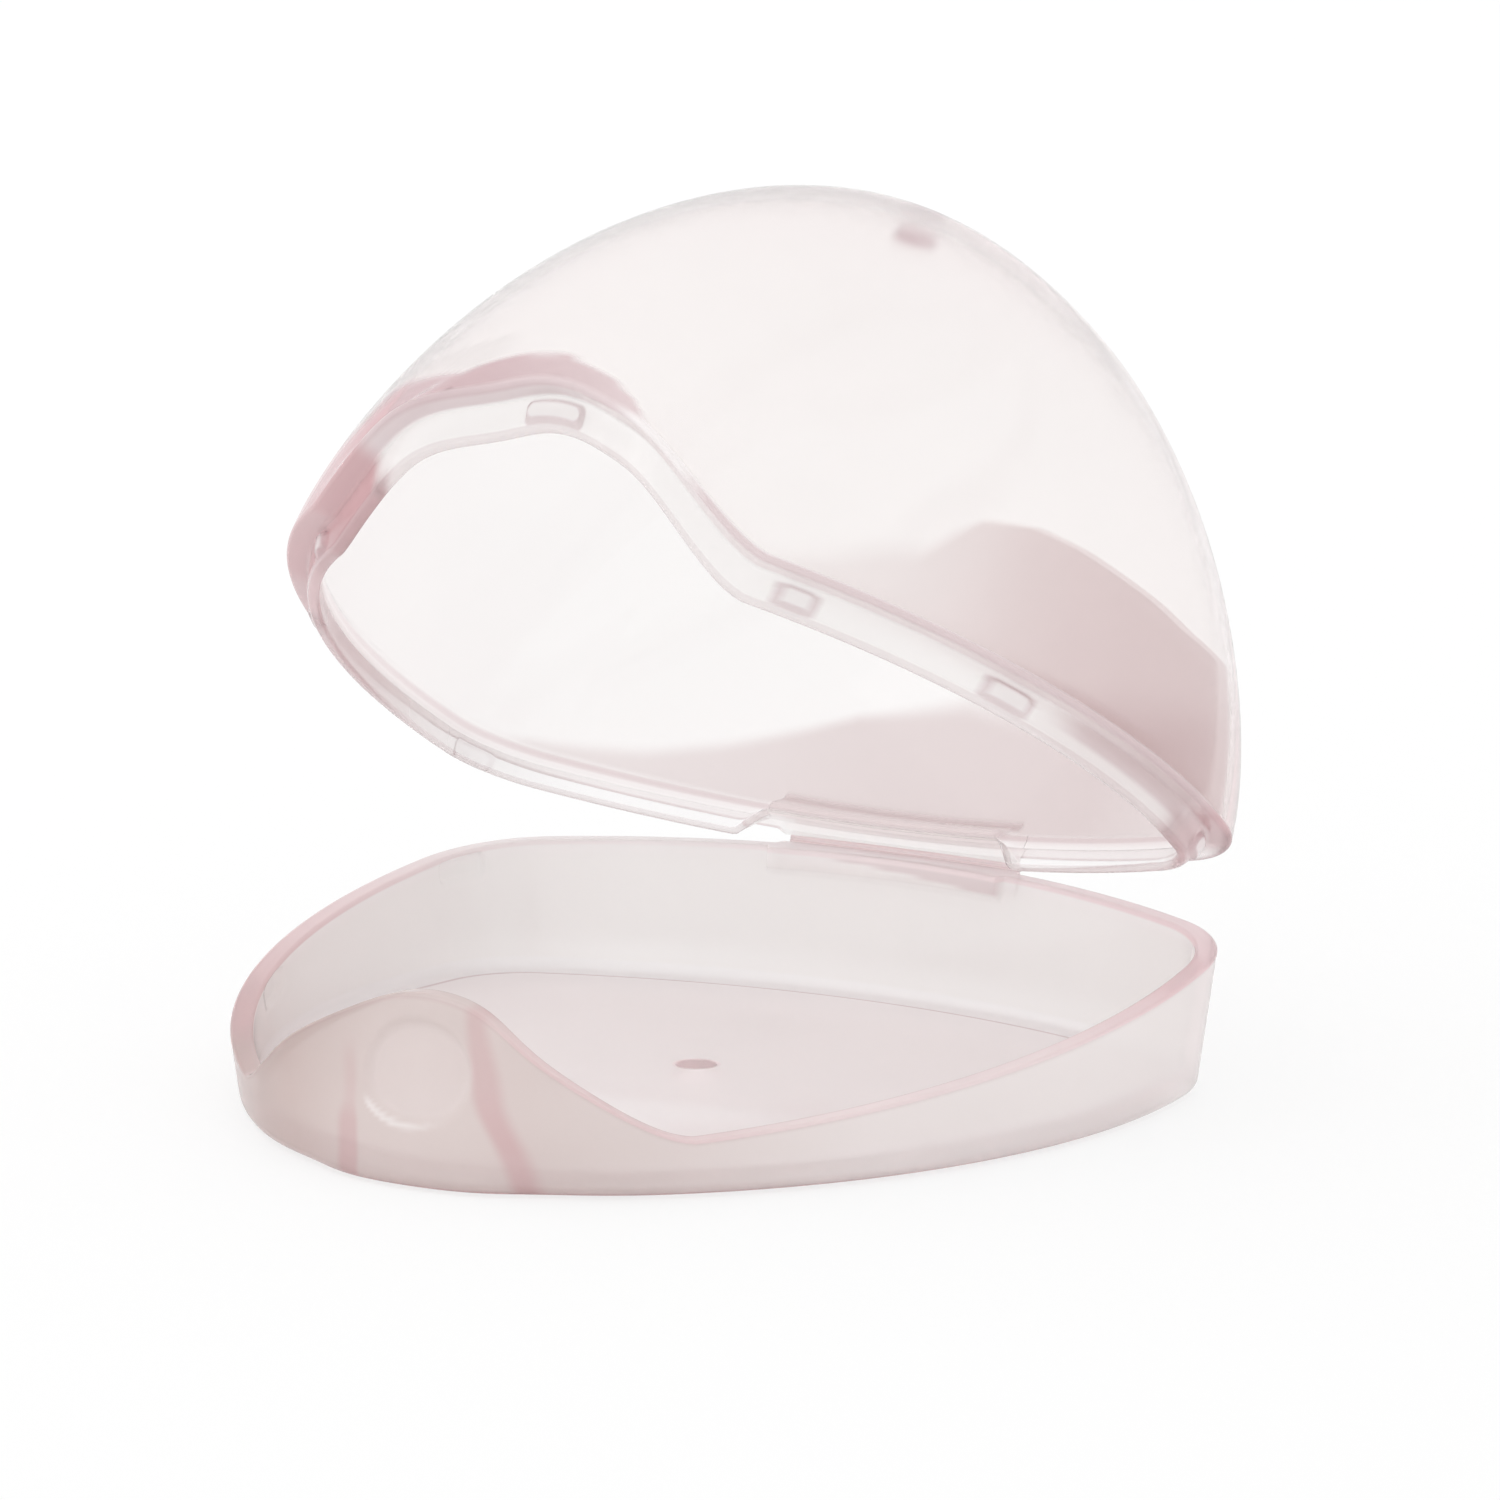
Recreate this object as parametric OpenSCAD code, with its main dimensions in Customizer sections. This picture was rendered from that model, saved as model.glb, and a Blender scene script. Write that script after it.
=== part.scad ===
// Hinged pacifier case, moulded in one translucent plastic: a shallow base tray with a thumb tab
// at the front, a tall domed lid with a snap lip, and the thin film hinge that joins them at the back.
// X runs along the hinge, +Y points to the hinge, +Z is up, the base stands on z = 0 about the origin.

/* [Plan outline] */
// Radius of the round front, where the thumb tab is
nose_r = 30.5; // [28:0.5:33]
// How far the centre of the front round lies in front of the origin
nose_y = 9.2; // [7:0.2:12]
// Radius of the two rear corners
corner_r = 12.1; // [10:0.1:14]
// Half the distance between the rear corner centres
corner_x = 25.8; // [24:0.1:28]
// How far the rear corner centres lie behind the origin
corner_y = 16.5; // [14:0.1:19]
// Radius of the bulging sides, between the front and the corners
side_r = 55; // [50:1:75]
// Radius of the nearly straight back, between the corners
back_r = 80; // [65:1:120]

/* [Base tray] */
// Height of the base rim at the hinge
base_h = 12.8; // [10:0.2:16]
// Thickness of the base wall at the rim
base_wall = 1.8; // [1.2:0.1:2.2]
// Thickness of the base floor
floor_t = 1.4; // [1:0.1:2.4]
// Outward lean of the base wall in degrees
wall_lean = 8; // [4:0.5:10]
// Radius of the edge round the foot
foot_r = 1; // [0.6:0.1:2]
// Radius inside, where the wall meets the floor
floor_r = 1.2; // [0.8:0.1:1.6]
// Fall of the rim from the hinge to the front in degrees
rim_fall = 7.4; // [5:0.1:8.5]

/* [Thumb tab] */
// Rise of the tab above the falling rim
tab_rise = 11.2; // [8:0.1:12]
// Half the width of the tab where it leaves the rim
tab_half_w = 21.8; // [18:0.1:24]
// Depth of the thumb scoop at the top of the tab
scoop_top = 4.2; // [3:0.1:4.6]
// How far the foot swells forward under the scoop
scoop_foot = 1.2; // [0.4:0.1:1.6]
// Half the width of the thumb scoop
scoop_half_w = 9.5; // [8:0.1:11]
// Width of the rounded dish for the thumb
dish_w = 11.4; // [8:0.1:13]
// Height of the dish
dish_h = 8.4; // [6:0.1:9]
// Depth of the round dish
dish_depth = 0.5; // [0.2:0.05:0.7]
// Height of the centre of the dish
dish_z = 8.6; // [7:0.1:9.4]

/* [Lid dome] */
// Height of the closed case
case_h = 55; // [48:0.2:64]
// How far the crown lies behind the origin
crown_y = 10.3; // [6:0.1:13]
// Roundness of the dome in plan, 1 is an ellipse
plan_power = 1.08; // [1:0.02:1.2]
// Roundness of the dome in height, 1 is an ellipse
rise_power = 1.29; // [1.1:0.01:1.4]
// Half width of the egg that the plan rounds off to
egg_side = 36.9; // [33:0.1:40]
// Reach of that egg in front of the crown
egg_front = 53.1; // [46:0.1:58]
// Reach of that egg behind the crown
egg_back = 30.9; // [22:0.1:34]
// Thickness of the dome wall
lid_wall = 1.5; // [1.1:0.1:1.8]
// Height of the ledge over the thumb tab
brow_h = 3.6; // [2.5:0.1:5]

/* [Snap lip] */
// How far the lip reaches down inside the base
lip_h = 2.5; // [2.2:0.1:3.4]
// Thickness of the lip at its edge
lip_t = 1; // [0.8:0.05:1.3]
// Gap between the root of the lip and the base wall
lip_gap = 0.25; // [0.2:0.01:0.4]
// How far the edge of the lip draws in from its root
lip_taper = 0.7; // [0.6:0.01:1]
// Gap between lid and base rim when closed
seam_gap = 0.15; // [0.1:0.01:0.3]
// Length of the snap bumps along the sides of the lip
bump_w = 5.2; // [4:0.1:6]
// Length of the short snap bumps on both sides of the tab
front_bump_w = 3.6; // [3:0.1:5]
// Length of the longer snap bump in the middle of the tab
mid_bump_w = 6.6; // [5:0.1:8]
// Height of a snap bump
bump_h = 1.8; // [1.2:0.1:2]
// How far a snap bump stands out of the lip
bump_d = 0.28; // [0.15:0.01:0.3]
// Depth of the pockets in the base wall that the snap bumps sit in
pocket_d = 0.4; // [0.3:0.05:0.6]
// Turn of the front snap bumps round the front, away from the tab
front_bump_at = 53; // [48:1:58]
// Place of the side snap bumps along the sides, from the front to the corner
side_bump_at = 0.47; // [0.3:0.01:0.6]
// Turn of the rear snap bumps round the rear corners
rear_bump_at = 26; // [15:1:35]

/* [Hinge] */
// Length of the film hinge
hinge_w = 22.4; // [16:0.2:26]
// Thickness of the fold of the film
film_d = 0.8; // [0.5:0.05:1]
// Gap between the lid and the fold of the film
film_gap = 0.15; // [0.1:0.01:0.25]
// Height of the hinge leaf on the base
base_leaf_h = 1.5; // [1:0.1:2.4]
// How far the leaves stand in from the walls
leaf_t = 0.8; // [0.4:0.05:1.1]

/* [Vents] */
// Diameter of the vent in the floor and of the one in the crown
vent_d = 3.2; // [2:0.1:4]
// How far the vents lie behind the origin
vent_y = 2.6; // [2.3:0.1:6]

/* [Pose] */
// Opening angle of the lid in degrees, 0 is closed
open_angle = 40; // [0:1:120]

/* [Hidden] */
pink = [0.95, 0.84, 0.85, 0.75];
eps = 0.01;
// Steps of each stretch of half the outline: front, side, corner, back, leaf end and leaf
steps = [18, 7, 9, 5, 1, 5];
wall_rows = 5;
inner_rows = 3;
round_rows = 3;
dome_rows = 17;
// Run-out of the lip beside the hinge, and the width of the step at the end of a leaf
lip_end_slope = 1.2;
leaf_end = 0.4;
// How far the blocks of the snap bumps and pockets start behind the face they stand on
bite = 0.2;
// How fast the plan of the dome rounds off to the egg
egg_power = 1.25;

// Centre of an arc of radius r that holds two circles inside and touches both
function holding_centre(c1, r1, c2, r2, r) =
    let (v = c2 - c1, d = norm(v), u = v / d, a = r - r1, b = r - r2,
         x = (a * a - b * b + d * d) / (2 * d), y = sqrt(a * a - x * x))
    c1 + u * x + [-u.y, u.x] * y;
function heading(a, b) = atan2(b.y - a.y, b.x - a.x);

nose_c = [0, -nose_y];
corner_c = [corner_x, corner_y];
side_c = holding_centre(nose_c, nose_r, corner_c, corner_r, side_r);
back_c = [0, corner_y - sqrt(pow(back_r - corner_r, 2) - corner_x * corner_x)];
nose_end = heading(side_c, nose_c);
side_end = heading(side_c, corner_c);
corner_end = heading(back_c, corner_c);
leaf_start = acos((hinge_w / 2 + leaf_end) / back_r);
leaf_in = acos(hinge_w / 2 / back_r);

// Points of an arc as [x, y, normal x, normal y], without the first one
function arc(c, r, a0, a1, n) =
    [for (i = [1:n]) let (a = a0 + (a1 - a0) * i / n) [c.x + r * cos(a), c.y + r * sin(a), cos(a), sin(a)]];
half_loop = concat([[0, nose_c.y - nose_r, 0, -1]],
    arc(nose_c, nose_r, -90, nose_end, steps[0]), arc(side_c, side_r, nose_end, side_end, steps[1]),
    arc(corner_c, corner_r, side_end, corner_end, steps[2]), arc(back_c, back_r, corner_end, leaf_start, steps[3]),
    arc(back_c, back_r, leaf_start, leaf_in, steps[4]), arc(back_c, back_r, leaf_in, 90, steps[5]));
last = len(half_loop) - 1;
loop = concat(half_loop, [for (i = [last - 1:-1:1]) let (p = half_loop[i]) [-p.x, p.y, -p[2], p[3]]]);
count = len(loop);

// The hinge axis lies just behind the back of the outline, on the rim
back_y = back_c.y + back_r;
hinge_y = back_y + film_d / 2 - eps;
rail_y = hinge_y - film_d / 2;

// Parting surface: a plane that falls to the front, with the bell of the tab on it
function tab_at(p) = p.y < 0 ? pow(max(0, 1 - pow(p.x / tab_half_w, 2)), 1.5) : 0;
function plane_z(p) = base_h - tan(rim_fall) * (back_y - p.y);
function rim_z(p) = plane_z(p) + tab_rise * tab_at(p);
function scoop_at(p) = p.y < 0 ? exp(-pow(p.x / scoop_half_w, 4)) : 0;
function on_leaf(p) = p.y > 0 && abs(p.x) < hinge_w / 2 + eps ? 1 : 0;
function mix(a, b, t) = a + (b - a) * t;
function ease(t) = let (u = min(1, max(0, t))) (1 - cos(180 * u)) / 2;

// How far the outer face lies inside the outline at height z: the lean and the scoop, without the dish
function lean_in(z) = tan(wall_lean) * max(base_h - z, -base_wall);
function scoop_in(p, z) = scoop_at(p) * mix(-scoop_foot, scoop_top, z / rim_z(p));
function dish_in(p, z) =
    p.y < 0 ? dish_depth * ease(2.5 * (1 - norm([p.x * 2 / dish_w, (z - dish_z) * 2 / dish_h]))) : 0;
function face_in(p, z) = lean_in(z) + scoop_in(p, z);
function inset(p, d, z) = [p.x - p[2] * d, p.y - p[3] * d, z];
// The back is straight along the hinge: how far a point there moves out to the hinge rail
function to_rail(p, d) = on_leaf(p) * (rail_y - (p.y - p[3] * d));
function shift_y(q, dy) = [q.x, q.y + dy, q.z];

// A closed solid from rings of points, closed by a point at each end
module loft(first, rings, end) {
    n = count;
    m = len(rings);
    points = concat([first], [for (r = rings) each r], [end]);
    faces = concat([for (i = [0:n - 1]) [0, 1 + i, 1 + (i + 1) % n]],
        [for (k = [0:m - 2]) for (i = [0:n - 1]) let (j = (i + 1) % n, a = 1 + k * n, b = a + n)
            each [[a + i, b + i, b + j], [a + i, b + j, a + j]]],
        [for (i = [0:n - 1]) [1 + m * n, 1 + (m - 1) * n + (i + 1) % n, 1 + (m - 1) * n + i]]);
    polyhedron(points, faces, convexity = 8);
}

// A block on a leaning wall, for a snap bump or its pocket: c, r and a are an arc of the outline and an angle on it,
// in_d is how far the wall lies inside the outline at the middle of the block, slope its lean, out_d the block's reach
module wall_pad(c, r, a, in_d, slope, out_d, width, height) {
    spot = [c.x + r * cos(a), c.y + r * sin(a)];
    face = r - in_d;
    turn = width / face * 180 / PI;
    h = height / 2;
    translate([c.x, c.y, 0]) rotate([0, 0, a]) translate([face, 0, rim_z(spot) - lip_h / 2])
        rotate([atan(tan(rim_fall) * cos(a)), 0, 0]) translate([-face, 0, 0]) rotate([0, 0, -turn / 2])
            rotate_extrude(angle = turn, $fn = 96)
                polygon([[face - bite - slope * (h + bite), -h - bite], [face + out_d - slope * (h - out_d), out_d - h],
                    [face + out_d + slope * (h - out_d), h - out_d], [face - bite + slope * (h + bite), h + bite]]);
}

// The seven snap places: one in the middle of the tab and three on each side
module snap_places(in_d, slope, out_d, longer, height) {
    wall_pad(nose_c, nose_r, -90, in_d + face_in([0, nose_c.y - nose_r], rim_z([0, nose_c.y - nose_r])),
        slope, out_d, mid_bump_w + longer, height);
    side_a = mix(nose_end, side_end, side_bump_at);
    for (m = [0, 1]) mirror([m, 0, 0])
        for (s = [[nose_c, nose_r, front_bump_at - 90, front_bump_w], [side_c, side_r, side_a, bump_w],
                  [corner_c, corner_r, rear_bump_at, bump_w]]) {
            spot = s[0] + s[1] * [cos(s[2]), sin(s[2])];
            wall_pad(s[0], s[1], s[2], in_d + lean_in(rim_z(spot)), slope, out_d, s[3] + longer, height);
        }
}

module base_tray() {
    outer_foot = [for (k = [0:round_rows]) let (a = 90 * k / round_rows)
        [for (p = loop) let (z = foot_r * (1 - cos(a))) inset(p, face_in(p, z) + foot_r * (1 - sin(a)), z)]];
    outer_wall = [for (k = [1:wall_rows]) [for (p = loop) let (top = rim_z(p), z = mix(foot_r, top, k / wall_rows),
        d = face_in(p, z) + dish_in(p, z), out = k < wall_rows - 1 ? 0 : to_rail(p, d)) shift_y(inset(p, d, z), out)]];
    // Inside: the wall below the hinge leaf, down to the round at the floor
    low = function(p) min(floor_t + floor_r, mix(floor_t, rim_z(p), 0.45));
    leaf_low = function(p) on_leaf(p) > 0 ? rim_z(p) - base_leaf_h : mix(rim_z(p), low(p), 0.2);
    wall_top = function(p) on_leaf(p) > 0 ? rim_z(p) - base_leaf_h - leaf_t / 2 : mix(rim_z(p), low(p), 0.35);
    inner_ring = function(z_at, extra) [for (p = loop) let (z = z_at(p)) inset(p, face_in(p, z) + base_wall + extra(p), z)];
    inner_wall = [for (k = [0:inner_rows]) inner_ring(function(p) mix(wall_top(p), low(p), k / inner_rows), function(p) 0)];
    inner_round = [for (k = [1:round_rows]) let (a = 90 * k / round_rows) [for (p = loop)
        inset(p, face_in(p, low(p)) + base_wall + floor_r * (1 - cos(a)), mix(low(p), floor_t, sin(a)))]];
    leaf = function(p) leaf_t * on_leaf(p);
    color(pink) difference() {
        loft([0, 0, 0], concat(outer_foot, outer_wall, [inner_ring(function(p) rim_z(p), leaf), inner_ring(leaf_low, leaf)],
            inner_wall, inner_round), [0, 0, floor_t]);
        translate([0, vent_y, -1]) cylinder(h = floor_t + 2, d = vent_d, $fn = 32);
        snap_places(base_wall + tan(wall_lean) * lip_h / 2, tan(wall_lean), pocket_d, pocket_d, bump_h + pocket_d);
    }
}

// Lid in the closed position
module lid_closed() {
    // A point of the smooth dome, d under its face, at rise t above the parting plane, without the tab's wave
    base = function(p, d) inset(p, lean_in(plane_z(p)) + d, plane_z(p) + seam_gap);
    egg = function(w) let (v = [w.x, w.y - crown_y], e = [v.x / egg_side, v.y / (v.y < 0 ? egg_front : egg_back)])
        v / norm(e);
    dome = function(p, d, t) let (w = base(p, d), v = [w.x, w.y - crown_y], u = pow(sin(t), egg_power),
        q = mix(v, egg(w), u) * pow(cos(t), plan_power))
        [q.x, q.y + crown_y, w.z + (case_h - d - w.z) * pow(sin(t), rise_power)];
    // Where the wave of the tab cuts the dome, and how far the dome moves there to meet the tab's face
    start = function(p) let (w = base(p, 0)) asin(pow(tab_rise * tab_at(p) / (case_h - w.z), 1 / rise_power));
    move = function(p) inset(p, face_in(p, rim_z(p)), 0) - dome(p, 0, start(p));
    ring = function(k, d) [for (p = loop) let (a = start(p), t = a + (90 - a) * pow(k / dome_rows, 1.25), q = dome(p, d, t),
        m = move(p) * (1 - ease((q.z - rim_z(p)) / brow_h))) [q.x + m.x, q.y + m.y, q.z]];
    shell = [for (k = [1:dome_rows - 1]) ring(k, 0)];
    step_out = [for (p = loop) let (d = face_in(p, rim_z(p)))
        shift_y(inset(p, d, rim_z(p) + seam_gap), to_rail(p, d) - film_gap * on_leaf(p))];
    root = base_wall + lip_gap;
    deep = function(p) min(lip_h, rim_z(p) - floor_t,
        p.y > 0 ? seam_gap / 2 + lip_end_slope * max(0, abs(p.x) - hinge_w / 2 - leaf_end) : lip_h);
    lip_ring = function(d, low)
        [for (p = loop) inset(p, face_in(p, rim_z(p)) + d, rim_z(p) + seam_gap - low * deep(p))];
    inner = [for (k = [dome_rows - 1:-1:0])
        ring(k, mix(root + lip_t + 0.1, lid_wall, ease(k / dome_rows * 5)))];
    color(pink) difference() {
        union() {
            loft([0, crown_y, case_h - lid_wall], concat(inner, [lip_ring(root + lip_taper + lip_t, 1),
                lip_ring(root + lip_taper, 1), lip_ring(root, 0), step_out], shell), [0, crown_y, case_h]);
            snap_places(root + lip_taper / 2, lip_taper / lip_h, bump_d, 0, bump_h);
        }
        translate([0, vent_y, case_h - 8]) cylinder(h = 12, d = vent_d, $fn = 32);
    }
}

module on_hinge(angle) {
    translate([0, hinge_y, base_h]) rotate([-angle, 0, 0]) translate([0, -hinge_y, -base_h]) children();
}
module lid_dome() { on_hinge(open_angle) lid_closed(); }
module film_hinge() {
    color(pink) translate([-hinge_w / 2, hinge_y, base_h]) rotate([0, 90, 0]) cylinder(h = hinge_w, d = film_d, $fn = 32);
}

base_tray();
lid_dome();
film_hinge();
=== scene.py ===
"""Looks of the hinged pacifier case: smooth moulded skins over the CAD frame, translucent pink plastic, white studio.

All lengths in the shape code are millimetres in the closed position, with the same named values as the CAD source.
"""

import bpy
import numpy as np
from mathutils import Matrix, Vector


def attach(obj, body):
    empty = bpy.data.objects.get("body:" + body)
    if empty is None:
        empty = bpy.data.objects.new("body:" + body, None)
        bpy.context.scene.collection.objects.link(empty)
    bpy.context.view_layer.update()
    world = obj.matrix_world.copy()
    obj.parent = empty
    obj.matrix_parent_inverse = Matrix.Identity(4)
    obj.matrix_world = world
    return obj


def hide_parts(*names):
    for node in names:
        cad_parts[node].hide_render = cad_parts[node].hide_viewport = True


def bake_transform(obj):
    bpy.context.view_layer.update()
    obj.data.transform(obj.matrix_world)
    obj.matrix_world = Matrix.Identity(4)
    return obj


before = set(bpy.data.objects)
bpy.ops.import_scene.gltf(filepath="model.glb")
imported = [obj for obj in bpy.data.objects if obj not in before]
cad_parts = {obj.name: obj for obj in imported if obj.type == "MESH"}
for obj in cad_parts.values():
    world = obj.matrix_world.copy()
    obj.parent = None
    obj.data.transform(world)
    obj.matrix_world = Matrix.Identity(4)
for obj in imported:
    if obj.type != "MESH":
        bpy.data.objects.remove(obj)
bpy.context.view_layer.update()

MM = 0.001
DEG = np.pi / 180

# Plan outline
NOSE_R, NOSE_Y = 30.5, 9.2
CORNER_R, CORNER_X, CORNER_Y = 12.1, 25.8, 16.5
SIDE_R, BACK_R = 55.0, 80.0
# Base tray
BASE_H, BASE_WALL, FLOOR_T, WALL_LEAN, FOOT_R, FLOOR_R, RIM_FALL = 12.8, 1.8, 1.4, 8.0, 1.0, 1.2, 7.4
# Thumb tab
TAB_RISE, TAB_HALF_W, SCOOP_TOP, SCOOP_FOOT, SCOOP_HALF_W = 11.2, 21.8, 4.2, 1.2, 9.5
DISH_W, DISH_H, DISH_DEPTH, DISH_Z = 11.4, 8.4, 0.5, 8.6
# Lid dome
CASE_H, CROWN_Y, PLAN_POWER, RISE_POWER = 55.0, 10.3, 1.08, 1.29
EGG_SIDE, EGG_FRONT, EGG_BACK, EGG_POWER = 36.9, 53.1, 30.9, 1.25
LID_WALL, BROW_H = 1.5, 3.6
# Snap lip
LIP_H, LIP_T, LIP_GAP, LIP_TAPER, SEAM_GAP = 2.5, 1.0, 0.25, 0.7, 0.15
BUMP_W, MID_BUMP_W, FRONT_BUMP_W, BUMP_H, BUMP_D, POCKET_D = 5.2, 6.6, 3.6, 1.8, 0.28, 0.4
FRONT_BUMP_AT, SIDE_BUMP_AT, REAR_BUMP_AT = 53.0, 0.47, 26.0
# Hinge and vents
HINGE_W, FILM_D, FILM_GAP, BASE_LEAF_H, LID_LEAF_H, LEAF_T, LEAF_END = 22.4, 0.8, 0.15, 1.5, 2.0, 0.8, 0.4
LIP_END_SLOPE = 1.2
VENT_D, VENT_Y = 3.2, 2.6
OPEN_ANGLE = 40.0
# Rounding of the tray's rim and of the lid's lower edge
RIM_ROUND, LID_ROUND = 0.3, 0.35
# Film web: outer and inner radius about the hinge line, and how far it stays clear of the leaf's ends
WEB_OUT, WEB_IN, WEB_CLEAR = 0.41, 0.09, 0.2
# Points on each arc of half the outline
STEPS = (150, 70, 90, 50, 6, 60)

# Turns round the outline are degrees about (0, TURN_Y), 0 at +X and 90 at the hinge
TURN_Y = 2.0
# Colours of the plastic, and of painted shade on it
ROSE, BLUSH, PETAL = (0.50, 0.27, 0.30), (0.64, 0.37, 0.39), (0.90, 0.55, 0.60)
WARM_SHADE, COOL_SHADE, LIP_SHADE = (0.825, 0.755, 0.735), (0.78, 0.76, 0.75), (0.72, 0.60, 0.61)
SHADE_TINT, VOLUME_TINT = (0.68, 0.55, 0.555), (0.88, 0.52, 0.55)
WHITE = (1.0, 1.0, 1.0)
# Painted shade on the lid, darker and rosier, is set by a zone value and its depth
NO_SHADE = 9.0  # A zone value this far past the border of 1 has no rosy tint
# How milky each zone is, from 0 clear to 1 opaque
TRAY_MILK = {"under": 0.35, "foot": 0.5, "wall": 0.5, "rim": 0.45, "inside": 0.32, "fillet": 0.3, "edge": 0.4,
             "floor": 0.4, "vent": 0.2}
LID_MILK = {"lip": 0.4, "lip_back": 0.3, "lip_end": 0.35, "rim": 0.45, "edge": 0.7, "inside": 0.06, "shell": 0.06,
            "crown": 0.06}
# Shares round the outline, as (turn, share)
# Painted shade round the tray's outer wall, greyer and darker at the front and left, as (turn, share)
TRAY_SHADE = ((-150, 1.7), (-108, 1.7), (-96, 1.3), (-75, 1.3), (-60, 1), (-35, 0.35), (0, 0.15), (25, 0.15), (60, 0),
             (130, 0), (160, 0.4), (180, 0.8))
TRAY_RIM = ((-142, 0.5), (-132, 0.1), (-84, 0.05), (-76, 0.35), (-60, 0.4), (-45, 0.25), (-10, 0.3), (15, 0.65),
            (40, 0.55), (75, 0.35), (105, 0.25), (125, 0.1), (145, 0.15), (165, 0.4), (180, 0.5))
TRAY_FOOT = ((-125, 0), (-105, 1), (0, 1), (30, 0))
# Painted light: how much clearer the tray's rear is, as (turn, share)
TRAY_REAR_LIGHT = ((20, 0), (50, 1), (130, 1), (165, 0))
# Painted highlight: how much clearer the white fillet is round the rear, as (turn, share)
FILLET_HIGHLIGHT = ((0, 0), (25, 1), (100, 1), (150, 0))
LID_RIM = ((-105, 0.45), (-80, 0.3), (-60, 0.3), (0, 0.3), (25, 0.4), (40, 0.12), (150, 0.12), (185, 0.5),
           (210, 0.5), (235, 0.3))
LID_EDGE = ((-105, 0.6), (-80, 0.5), (-76, 0.15), (-69, 0.12), (-65, 0.5), (0, 0.5), (30, 0.6), (90, 0.4),
            (150, 0.5), (210, 0.5), (235, 0.3))
LID_SIDE = ((140, 0), (165, 0.25), (180, 0.7), (200, 1), (212, 0.5), (225, 0))
EDGE_REAR = ((34, 0), (42, 1), (135, 1), (165, 0))
LIP_REAR = ((34, 0), (42, 1), (135, 1), (170, 0))
INNER_LINE = ((28, 0), (36, 1), (140, 1), (190, 0.5), (210, 0))
# The lid's zone of painted shade, darker and rosier, as (turn, height of its upper edge, softness of that edge, depth
# of its tint)
SHADE_ZONE = (
    (-80, -4, 3, 0.1), (-60, 1.5, 3, 0.15), (-52, 6, 2.5, 0.22), (-46, 8.5, 2, 0.3), (-39, 11.1, 1.5, 0.42),
    (-36, 13.6, 1.2, 0.48), (-32, 16.6, 0.5, 0.58), (-23, 19.1, 0.25, 0.8), (-14, 20.2, 0.2, 0.9),
    (-5, 20.8, 0.15, 0.95), (2, 21.3, 0.15, 0.97), (10, 21.6, 0.15, 1), (20.5, 22.7, 0.15, 1.03),
    (22, 22.8, 0.3, 0.25), (36, 23, 2, 0.3), (46, 23.8, 3, 0.6), (60, 24.6, 4, 0.78), (88, 25.7, 1.5, 0.7),
    (105, 23.2, 0.5, 0.65), (122, 18.2, 0.9, 0.55), (132, 15.6, 0.9, 0.5), (145, 13.4, 0.6, 0.45), (152, 11, 1, 0.35),
    (175, 8, 2, 0.3), (200, 4, 3, 0.2), (230, 0, 3, 0.1), (280, -4, 3, 0.1),
)
# Crest of the ledge over the thumb tab and the top of the painted grey shade above it, as heights over x
CREST_X = (-20, -17, -14.7, -8, -5.5, -3.6, 0.8, 5.5, 8.0, 10.6)
CREST_Z = (13.5, 16.3, 15.9, 15.0, 16.3, 17.0, 17.4, 15.8, 14.2, 12.0)
RIDGE_X, RIDGE_Z = (-17.5, -15.7, -11.4, -6.2, -4), (14.5, 16.2, 17.3, 18.7, 19)


def holding_centre(c1, r1, c2, r2, r):
    """Centre of an arc of radius r that holds two circles inside and touches both."""
    v = c2 - c1
    d = np.hypot(*v)
    u = v / d
    a, b = r - r1, r - r2
    x = (a * a - b * b + d * d) / (2 * d)
    y = np.sqrt(a * a - x * x)
    return c1 + u * x + np.array([-u[1], u[0]]) * y


def heading(a, b):
    """Direction from a to b."""
    return np.arctan2(b[1] - a[1], b[0] - a[0])


def ease(t):
    """0 below 0 and 1 above 1, with a smooth step between."""
    return (1 - np.cos(np.pi * np.clip(t, 0, 1))) / 2


NOSE_C = np.array([0.0, -NOSE_Y])
CORNER_C = np.array([CORNER_X, CORNER_Y])
SIDE_C = holding_centre(NOSE_C, NOSE_R, CORNER_C, CORNER_R, SIDE_R)
BACK_C = np.array([0.0, CORNER_Y - np.sqrt((BACK_R - CORNER_R) ** 2 - CORNER_X**2)])
NOSE_END, SIDE_END, CORNER_END = heading(SIDE_C, NOSE_C), heading(SIDE_C, CORNER_C), heading(BACK_C, CORNER_C)
BACK_Y = BACK_C[1] + BACK_R
HINGE_Y = BACK_Y + FILM_D / 2 - 0.01
RAIL_Y = HINGE_Y - FILM_D / 2


def outline(steps):
    """Closed outline, anticlockwise from the front: points and outward normals."""

    def arc(c, r, a0, a1, n):
        a = a0 + (a1 - a0) * np.arange(1, n + 1) / n
        return np.column_stack([c[0] + r * np.cos(a), c[1] + r * np.sin(a), np.cos(a), np.sin(a)])

    leaf_out = np.arccos((HINGE_W / 2 + LEAF_END) / BACK_R)
    leaf_in = np.arccos(HINGE_W / 2 / BACK_R)
    half = np.vstack([
        [[0, NOSE_C[1] - NOSE_R, 0, -1]],
        arc(NOSE_C, NOSE_R, -np.pi / 2, NOSE_END, steps[0]),
        arc(SIDE_C, SIDE_R, NOSE_END, SIDE_END, steps[1]),
        arc(CORNER_C, CORNER_R, SIDE_END, CORNER_END, steps[2]),
        arc(BACK_C, BACK_R, CORNER_END, leaf_out, steps[3]),
        arc(BACK_C, BACK_R, leaf_out, leaf_in, steps[4]),
        arc(BACK_C, BACK_R, leaf_in, np.pi / 2, steps[5]),
    ])
    loop = np.vstack([half, (half * [-1, 1, -1, 1])[-2:0:-1]])
    return loop[:, :2], loop[:, 2:]


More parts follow.
